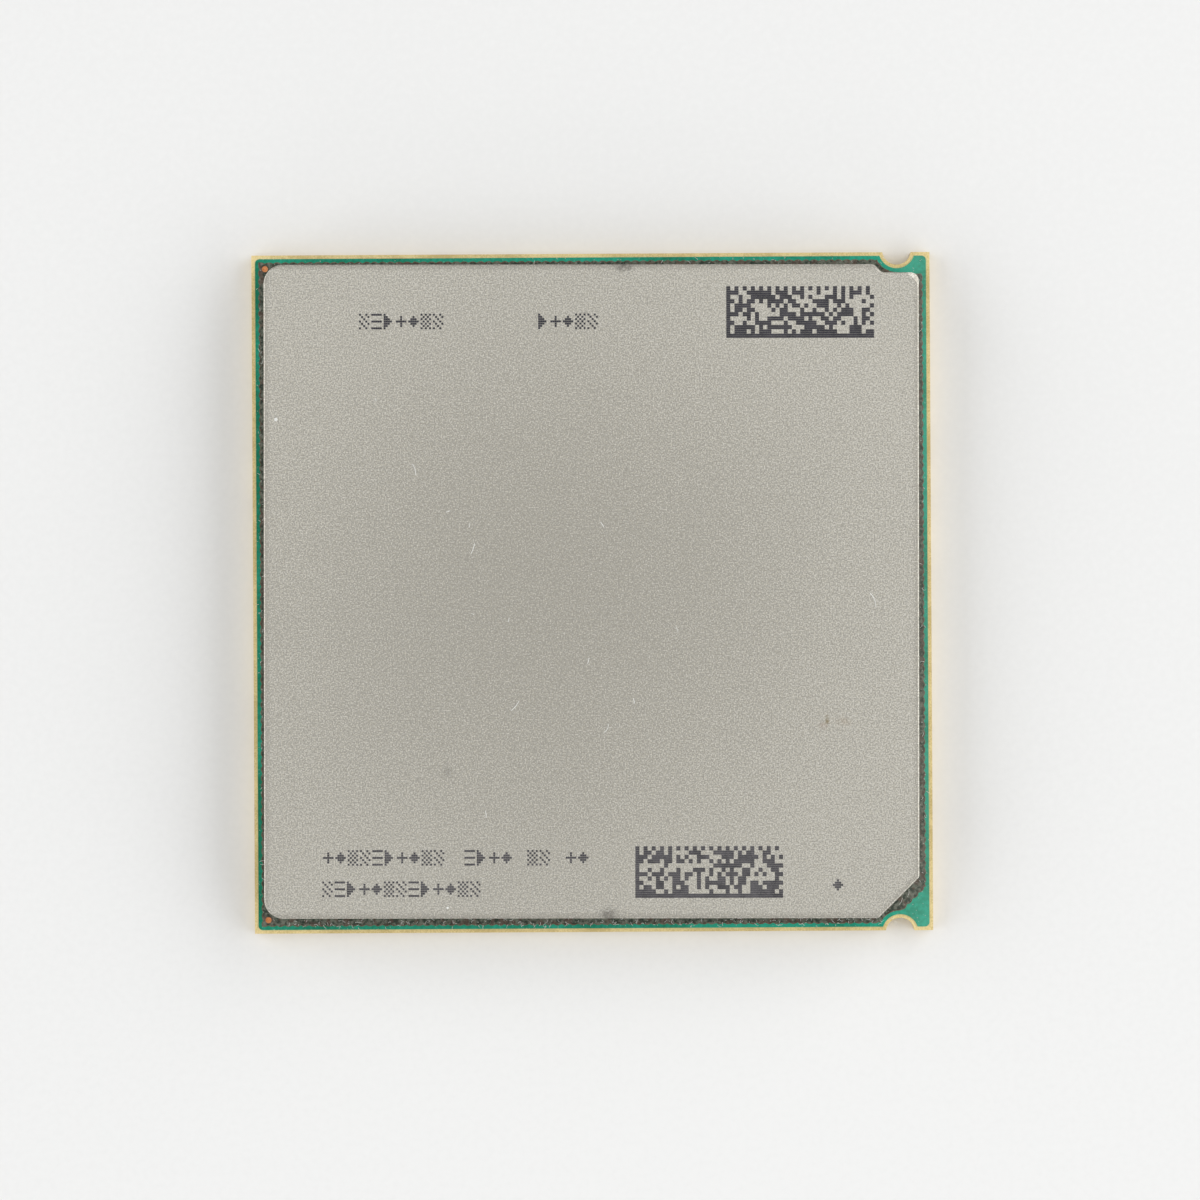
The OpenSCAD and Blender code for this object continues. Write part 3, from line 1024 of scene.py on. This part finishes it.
class Tick(Enum):
    """Plain shapes, five dots wide and seven high, that fill the printed rows."""

    BARS = "level bars"
    SLOPES = "sloping bars"
    CHECKER = "checkered field"
    DIAMOND = "filled diamond"
    PLUS = "plus"
    STEPS = "steps"

    def inked(self, column: int, row: int) -> bool:
        """Tell whether a dot of the shape is marked.

        Args:
            column: Column of the dot, from 0 to 4.
            row: Row of the dot, from 0 to 6.

        Returns:
            True for a marked dot.
        """
        half_wide, half_high = SHAPE_COLUMNS // 2, SHAPE_ROWS // 2
        aside, above = abs(column - half_wide), abs(row - half_high)
        rules = {
            Tick.BARS: row % half_high == 0,
            Tick.SLOPES: (column + row) % half_high == 0,
            Tick.CHECKER: (column + row) % 2 == 0,
            Tick.DIAMOND: aside + above <= half_wide,
            Tick.PLUS: (aside == 0 and above < half_high) or above == 0,
            Tick.STEPS: column + above <= half_high,
        }
        return rules[self]


@dataclass(frozen=True)
class TickRow:
    """A row of plain shapes: its left end and foot on the lid, its count of shapes and the first one."""

    left: float
    foot: float
    count: int
    first: Tick

    def shape(self, index: int) -> Tick:
        """Shape at a place in the row."""
        shapes = list(Tick)
        return shapes[(shapes.index(self.first) - index) % len(shapes)]


@dataclass(frozen=True)
class CodeField:
    """A field of square modules with a solid border on two sides and a dotted one on the others."""

    left: float
    foot: float
    seed: int
    columns: int = 36
    rows: int = 12
    module: Span = (0.3 * MM, 0.315 * MM)
    share: float = 0.52

    def inked(self, column: int, row: int) -> bool:
        """Tell whether a module is marked.

        Args:
            column: Column of the module, from the left.
            row: Row of the module, from the foot.

        Returns:
            True for a marked module.
        """
        if column == 0 or row == 0:
            return True
        if row == self.rows - 1:
            return column % 2 == 0
        if column == self.columns - 1:
            return row % 2 == 1
        return random.Random(self.seed + row * self.columns + column).random() < self.share


@dataclass
class LaserPrint:
    """Dots burnt into the lid's top, each a low frustum that hardly stands out of it."""

    dot_pitch: Span = (0.155 * MM, 0.165 * MM)
    shape_pitch: float = 0.9 * MM
    dot_share: float = 0.99
    dot_taper: float = 0.97
    dot_height: float = 0.004 * MM
    proud: float = 0.002 * MM
    dot_sides: int = 4
    cell_middle: float = 0.5
    module_quarters: Span = (0.25, 0.75)
    upper_rows: tuple[TickRow, ...] = (
        TickRow(-16.97 * MM, 19.16 * MM, 7, Tick.SLOPES),
        TickRow(-3.88 * MM, 19.16 * MM, 5, Tick.STEPS),
    )
    lower_rows: tuple[TickRow, ...] = (
        TickRow(-19.64 * MM, -20.03 * MM, 10, Tick.PLUS),
        TickRow(-9.31 * MM, -20.03 * MM, 4, Tick.BARS),
        TickRow(-4.72 * MM, -20.03 * MM, 2, Tick.CHECKER),
        TickRow(-1.91 * MM, -20.03 * MM, 2, Tick.PLUS),
        TickRow(-19.7 * MM, -22.32 * MM, 13, Tick.SLOPES),
        TickRow(17.6 * MM, -22.04 * MM, 1, Tick.DIAMOND),
    )
    upper_code: CodeField = CodeField(9.87 * MM, 18.51 * MM, seed=5)
    lower_code: CodeField = CodeField(3.18 * MM, -22.4 * MM, seed=7000)

    def row_dots(self, row: TickRow) -> list[Point]:
        """Places of the dots in a row of shapes.

        Args:
            row: The row.

        Returns:
            The dots' middles on the lid.
        """
        wide, high = self.dot_pitch
        middle = self.cell_middle
        return [
            (row.left + index * self.shape_pitch + (i + middle) * wide, row.foot + (j + middle) * high)
            for index in range(row.count)
            for i in range(SHAPE_COLUMNS)
            for j in range(SHAPE_ROWS)
            if row.shape(index).inked(i, j)
        ]

    def code_dots(self, code: CodeField) -> list[Point]:
        """Places of the dots in a code field, four to each marked module.

        Args:
            code: The field.

        Returns:
            The dots' middles on the lid.
        """
        wide, high = code.module
        return [
            (code.left + (i + u) * wide, code.foot + (j + v) * high)
            for i in range(code.columns)
            for j in range(code.rows)
            if code.inked(i, j)
            for u in self.module_quarters
            for v in self.module_quarters
        ]

    def burn(self, name: str, dots: list[Point], lid: Lid, finish: GrainFinish) -> None:
        """Model a set of dots.

        Args:
            name: Name of the piece.
            dots: The dots' middles on the lid.
            lid: The lid that they are on.
            finish: Their finish.
        """
        radius = min(self.dot_pitch) * self.dot_share * COS_45
        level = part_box("lid")[1].z + self.proud - self.dot_height / 2
        turn = Matrix.Rotation(math.pi / self.dot_sides, 4, "Z")
        mesh = bmesh.new()
        for x, y in dots:
            bmesh.ops.create_cone(
                mesh,
                cap_ends=True,
                segments=self.dot_sides,
                radius1=radius,
                radius2=radius * self.dot_taper,
                depth=self.dot_height,
                matrix=Matrix.Translation((x, y, level)) @ turn,
            )
        bmesh.ops.transform(mesh, matrix=lid.place(), verts=mesh.verts)
        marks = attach(add_piece(name, mesh, finish.material()), ROOT)
        LOG.info("burnt %s with %d dots", marks.name, len(dots))

    def build(self, lid: Lid) -> None:
        """Model all the marks on a lid.

        Args:
            lid: The lid.
        """
        upper = [dot for row in self.upper_rows for dot in self.row_dots(row)]
        lower = [dot for row in self.lower_rows for dot in self.row_dots(row)]
        self.burn("upper_marks", upper + self.code_dots(self.upper_code), lid, LASER_DARK)
        self.burn("lower_marks", lower + self.code_dots(self.lower_code), lid, LASER_PALE)


@dataclass
class Lands:
    """Grid of gold contact lands, each a low disc with a rounded rim."""

    grid: LandGrid = LandGrid()
    sides: int = 12
    rim_round: float = 0.008 * MM
    rim_segments: int = 1

    def one(self, mesh: bmesh.types.BMesh, low: float, high: float) -> None:
        """Model one land at the middle of the grid.

        Args:
            mesh: The bmesh to model in.
            low: Level of its face.
            high: Level of its back.
        """
        middle = (low + high) / 2
        bmesh.ops.create_cone(
            mesh,
            cap_ends=True,
            segments=self.sides,
            radius1=self.grid.radius,
            radius2=self.grid.radius,
            depth=high - low,
            matrix=Matrix.Translation((0.0, 0.0, middle)),
        )
        rim = [edge for edge in mesh.edges if all(vert.co.z < middle for vert in edge.verts)]
        bmesh.ops.bevel(
            mesh,
            geom=rim,
            offset=self.rim_round,
            offset_type="OFFSET",
            segments=self.rim_segments,
            profile=BEVEL_PROFILE,
            affect="EDGES",
            material=KEEP_MATERIAL,
        )

    def spread(self, mesh: bmesh.types.BMesh, axis: Vector) -> None:
        """Repeat everything in a bmesh along one axis of the grid.

        Args:
            mesh: The bmesh.
            axis: Direction of the row.
        """
        pattern = [*mesh.verts, *mesh.edges, *mesh.faces]
        half = self.grid.count // 2
        for step in [*range(-half, 0), *range(1, half + 1)]:
            copy = bmesh.ops.duplicate(mesh, geom=pattern)["geom"]
            verts = [item for item in copy if isinstance(item, bmesh.types.BMVert)]
            bmesh.ops.translate(mesh, verts=verts, vec=axis * (step * self.grid.pitch))

    def build(self) -> None:
        """Model the grid over its CAD node."""
        low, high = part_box("contact_lands")
        mesh = bmesh.new()
        self.one(mesh, low.z, high.z)
        self.spread(mesh, Vector((1, 0, 0)))
        self.spread(mesh, Vector((0, 1, 0)))
        pitch = self.grid.pitch
        bare = [
            vert
            for vert in mesh.verts
            if abs(round(vert.co.x / pitch)) + abs(round(vert.co.y / pitch)) > self.grid.limit()
        ]
        bmesh.ops.delete(mesh, geom=bare, context="VERTS")
        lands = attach(add_piece("gold_lands", mesh, GoldFinish().material()), ROOT)
        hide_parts("contact_lands")
        LOG.info("built %s with %d faces", lands.name, len(lands.data.polygons))


class Side(Enum):
    """Sides of the board, with their headings."""

    FRONT = -math.pi / 2
    LEFT = math.pi
    RIGHT = 0.0
    REAR = math.pi / 2


@dataclass(frozen=True)
class Hair:
    """A hair of lint: its place, length, sweep of its curl and heading."""

    x: float
    y: float
    length: float
    sweep: float
    heading: float


@dataclass(frozen=True)
class Fleck:
    """A flat fleck of lint: its place and half width."""

    x: float
    y: float
    radius: float


@dataclass
class Lint:
    """Hairs and flecks of lint on the lid, and hairs along the board's edge."""

    lid_thickness: float = 0.05 * MM
    board_thickness: float = 0.024 * MM
    sides: int = 5
    steps: int = 6
    seed: int = 11
    hairs: tuple[Hair, ...] = (
        Hair(-12.83 * MM, 8.5 * MM, 0.88 * MM, 0.6, -0.02),
        Hair(-7.72 * MM, -16.52 * MM, 0.5 * MM, 0.4, -0.08),
        Hair(20.78 * MM, -1.15 * MM, 1.12 * MM, 0.8, 0.0),
        Hair(0.89 * MM, -10.3 * MM, 0.78 * MM, 1.4, -1.14),
        Hair(-8.79 * MM, 2.78 * MM, 0.8 * MM, 0.35, -0.49),
        Hair(-5.89 * MM, -8.7 * MM, 0.93 * MM, 0.5, -0.94),
        Hair(-8.95 * MM, 4.68 * MM, 0.38 * MM, 0.4, -0.39),
        Hair(-10.6 * MM, 5.82 * MM, 0.3 * MM, 0.4, -1.43),
        Hair(-8.56 * MM, -1.72 * MM, 0.26 * MM, 0.4, 0.86),
        Hair(3.13 * MM, -8.2 * MM, 0.38 * MM, 0.4, 0.02),
        Hair(0.91 * MM, 4.68 * MM, 0.45 * MM, 0.4, 0.37),
        Hair(-6.08 * MM, -2.22 * MM, 0.32 * MM, 0.4, -0.33),
        Hair(-0.3 * MM, -5.28 * MM, 0.44 * MM, 0.4, -0.45),
        Hair(6.32 * MM, -2.99 * MM, 0.42 * MM, 0.4, 0.14),
        Hair(-15.72 * MM, 13.9 * MM, 0.22 * MM, 0.4, 0.0),
    )
    flecks: tuple[Fleck, ...] = (
        Fleck(-23.05 * MM, 12.59 * MM, 0.13 * MM),
        Fleck(-10.54 * MM, -23.11 * MM, 0.09 * MM),
    )
    fleck_height: float = 0.02 * MM
    fleck_cuts: int = 2
    mask_hairs: tuple[Hair, ...] = (
        Hair(23.82 * MM, 23.76 * MM, 0.1 * MM, 0.8, 0.4),
        Hair(24.34 * MM, 24.36 * MM, 0.07 * MM, 0.8, 1.3),
        Hair(21.45 * MM, 24.15 * MM, 0.14 * MM, 0.8, 0.1),
        Hair(22.5 * MM, -23.1 * MM, 0.55 * MM, 0.7, -0.8),
        Hair(23.15 * MM, -22.45 * MM, 0.4 * MM, 0.9, -0.6),
        Hair(24.1 * MM, -21.45 * MM, 0.16 * MM, 0.8, 0.4),
    )
    band_counts: tuple[tuple[Side, int], ...] = (
        (Side.FRONT, 170),
        (Side.LEFT, 44),
        (Side.RIGHT, 30),
        (Side.REAR, 14),
    )
    band: float = 24.3 * MM
    band_spread: float = 0.28 * MM
    band_reach: float = 22.6 * MM
    band_length: Span = (0.06 * MM, 0.36 * MM)
    band_sweep: Span = (0.4, 1.8)

    def lay(self, mesh: bmesh.types.BMesh, hair: Hair, level: float, thickness: float) -> None:
        """Model a hair that lies on a level face.

        Args:
            mesh: The bmesh to model in.
            hair: The hair.
            level: Level of the face.
            thickness: Thickness of the hair.
        """
        radius = hair.length / hair.sweep
        place = (
            Matrix.Translation((hair.x, hair.y, level + thickness / 2))
            @ Matrix.Rotation(hair.heading, 4, "Z")
            @ Matrix.Translation((-radius, 0.0, 0.0))
        )
        stand = Matrix.Translation((radius, 0.0, 0.0)) @ Matrix.Rotation(math.pi / 2, 4, "X")
        ring = bmesh.ops.create_circle(
            mesh, cap_ends=True, segments=self.sides, radius=thickness / 2, matrix=place @ stand
        )["verts"]
        faces = list({face for vert in ring for face in vert.link_faces})
        edges = list({edge for vert in ring for edge in vert.link_edges})
        bmesh.ops.spin(
            mesh,
            geom=[*ring, *edges, *faces],
            cent=place.translation,
            axis=(0.0, 0.0, 1.0),
            angle=hair.sweep,
            steps=self.steps,
        )

    def drop(self, mesh: bmesh.types.BMesh, fleck: Fleck, level: float) -> None:
        """Model a fleck that is half sunk in a level face.

        Args:
            mesh: The bmesh to model in.
            fleck: The fleck.
            level: Level of the face.
        """
        shape = Matrix.Diagonal((fleck.radius, fleck.radius, self.fleck_height, 1.0))
        place = Matrix.Translation((fleck.x, fleck.y, level))
        bmesh.ops.create_icosphere(mesh, subdivisions=self.fleck_cuts, radius=1.0, matrix=place @ shape)

    def band_hairs(self) -> list[Hair]:
        """Short hairs along the board's edge, most of them in front.

        Returns:
            The hairs.
        """
        chance = random.Random(self.seed)
        hairs = []
        for side, count in self.band_counts:
            turn = Matrix.Rotation(side.value, 3, "Z")
            for _ in range(count):
                out = self.band + chance.uniform(-1, 1) * self.band_spread
                along = chance.uniform(-1, 1) * self.band_reach
                place = turn @ Vector((out, along, 0.0))
                length = chance.uniform(*self.band_length)
                sweep = chance.uniform(*self.band_sweep)
                hairs.append(Hair(place.x, place.y, length, sweep, chance.uniform(0.0, math.tau)))
        return hairs

    def build(self, lid: Lid) -> None:
        """Model the lint on a lid and on the board's mask.

        Args:
            lid: The lid.
        """
        material = WHITE_LINT.material()
        on_lid = bmesh.new()
        for hair in self.hairs:
            self.lay(on_lid, hair, 0.0, self.lid_thickness)
        for fleck in self.flecks:
            self.drop(on_lid, fleck, self.lid_thickness / 2)
        rise = Matrix.Translation((0.0, 0.0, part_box("lid")[1].z - self.lid_thickness / 2))
        bmesh.ops.transform(on_lid, matrix=rise @ lid.place(), verts=on_lid.verts)
        on_board = bmesh.new()
        for hair in [*self.mask_hairs, *self.band_hairs()]:
            self.lay(on_board, hair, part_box("top_solder_mask")[1].z, self.board_thickness)
        for name, mesh in (("lid_lint", on_lid), ("edge_lint", on_board)):
            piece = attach(add_piece(name, mesh, material), ROOT)
            LOG.info("laid %s with %d faces", piece.name, len(piece.data.polygons))


@dataclass
class Board:
    """Laminate board with its copper, its masks and its lands."""

    nodes: dict[str, bpy.types.Object]

    def build(self) -> None:
        """Model the lands."""
        Lands().build()

    def dress(self) -> None:
        """Give the board's CAD nodes their finishes."""
        copper = BARE_COPPER.material()
        dress_node(self.nodes["laminate_board"], LaminateFinish().material())
        dress_node(self.nodes["top_solder_mask"], TopMaskFinish().material())
        dress_node(self.nodes["bottom_solder_mask"], LandMaskFinish().material())
        dress_node(self.nodes["top_copper_plane"], copper)
        dress_node(self.nodes["capacitor_pads"], copper)


@dataclass
class DieStack:
    """Die with its bumps, resin, thermal layer and the seal of the lid over it."""

    nodes: dict[str, bpy.types.Object]

    def dress(self) -> None:
        """Give the stack's CAD nodes their finishes."""
        finishes = {
            "silicon_die": SILICON_BACK,
            "solder_bump_layer": TIN_SOLDER,
            "underfill": UNDERFILL_RESIN,
            "thermal_interface": THERMAL_COMPOUND,
            "lid_seal": SEAL_ADHESIVE,
        }
        for name, finish in finishes.items():
            dress_node(self.nodes[name], finish.material())


@dataclass
class CapacitorBanks:
    """Four banks of ceramic capacitors around the die."""

    nodes: dict[str, bpy.types.Object]

    def dress(self) -> None:
        """Give the capacitors' CAD nodes their finishes."""
        ceramic, tin = FIRED_CERAMIC.material(), TIN_SOLDER.material()
        for side in Side:
            bank = side.name.lower()
            dress_node(self.nodes[f"capacitor_bodies_{bank}"], ceramic)
            dress_node(self.nodes[f"capacitor_ends_{bank}"], tin)


@dataclass(frozen=True)
class Softbox:
    """A studio light that faces the part, with its width and height and its power in watts."""

    name: str
    place: tuple[float, float, float]
    sides: Span
    power: float

    def build(self) -> None:
        """Hang the light."""
        data = bpy.data.lights.new(self.name, "AREA")
        data.shape = "RECTANGLE"
        data.size, data.size_y = self.sides
        data.energy = self.power
        light = bpy.data.objects.new(self.name, data)
        light.location = self.place
        light.rotation_euler = (-Vector(self.place)).to_track_quat("-Z", "Y").to_euler()
        light.visible_camera = False
        bpy.context.scene.collection.objects.link(light)


@dataclass
class Studio:
    """Pale floor, soft lights and the camera straight above the board."""

    floor_half: float = 2.0
    floor_cuts: int = 4
    floor_drop: float = 0.02 * MM
    sky: Color = (0.93, 0.96, 1.0)
    sky_strength: float = 0.3
    softboxes: tuple[Softbox, ...] = (
        Softbox("left_softbox", (-0.5, 0.0, 0.29), (1.0, 0.48), 3.0),
        Softbox("right_softbox", (0.48, 0.06, 0.29), (1.4, 0.5), 4.75),
        Softbox("front_softbox", (0.0, -0.5, 0.16), (0.6, 0.16), 0.4),
        Softbox("top_softbox", (0.0, 0.1, 1.1), (0.8, 0.8), 1.6),
    )
    camera_height: float = 360 * MM
    camera_aim: Point = (0.5701 * MM, -0.5292 * MM)
    camera_roll: float = math.radians(-0.316)
    sensor: float = 36.0
    lens: float = 146.5

    def build(self) -> None:
        """Set up the floor, the lights and the camera."""
        self.lay_floor()
        self.light_room()
        for softbox in self.softboxes:
            softbox.build()
        self.hang_camera()

    def lay_floor(self) -> None:
        """Lay the floor just under the lands."""
        mesh = bmesh.new()
        drop = Matrix.Translation((0.0, 0.0, -self.floor_drop))
        bmesh.ops.create_grid(
            mesh,
            x_segments=self.floor_cuts,
            y_segments=self.floor_cuts,
            size=self.floor_half,
            matrix=drop,
        )
        add_piece("floor", mesh, PALE_FLOOR.material())

    def light_room(self) -> None:
        """Fill the room with even light."""
        world = bpy.data.worlds.new("room")
        world.use_nodes = True
        background = world.node_tree.nodes["Background"]
        background.inputs["Color"].default_value = (*self.sky, 1.0)
        background.inputs["Strength"].default_value = self.sky_strength
        scene = bpy.context.scene
        scene.world = world
        scene.view_settings.view_transform = "Standard"

    def hang_camera(self) -> None:
        """Hang the camera straight above the board, turned a little as the photograph is."""
        data = bpy.data.cameras.new("camera")
        data.sensor_width = self.sensor
        data.lens = self.lens
        camera = bpy.data.objects.new("camera", data)
        camera.location = (*self.camera_aim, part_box("top_solder_mask")[1].z + self.camera_height)
        camera.rotation_euler = (0.0, 0.0, self.camera_roll)
        bpy.context.scene.collection.objects.link(camera)
        bpy.context.scene.camera = camera


def main() -> None:
    """Load the frame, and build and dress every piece."""
    logging.basicConfig(level=logging.INFO, format="%(name)s: %(message)s")
    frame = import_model()
    nodes = frame["nodes"]
    board = Board(nodes)
    board.build()
    board.dress()
    DieStack(nodes).dress()
    CapacitorBanks(nodes).dress()
    lid = Lid()
    lid.build()
    LaserPrint().build(lid)
    Lint().build(lid)
    Studio().build()


if __name__ == "__main__":
    main()
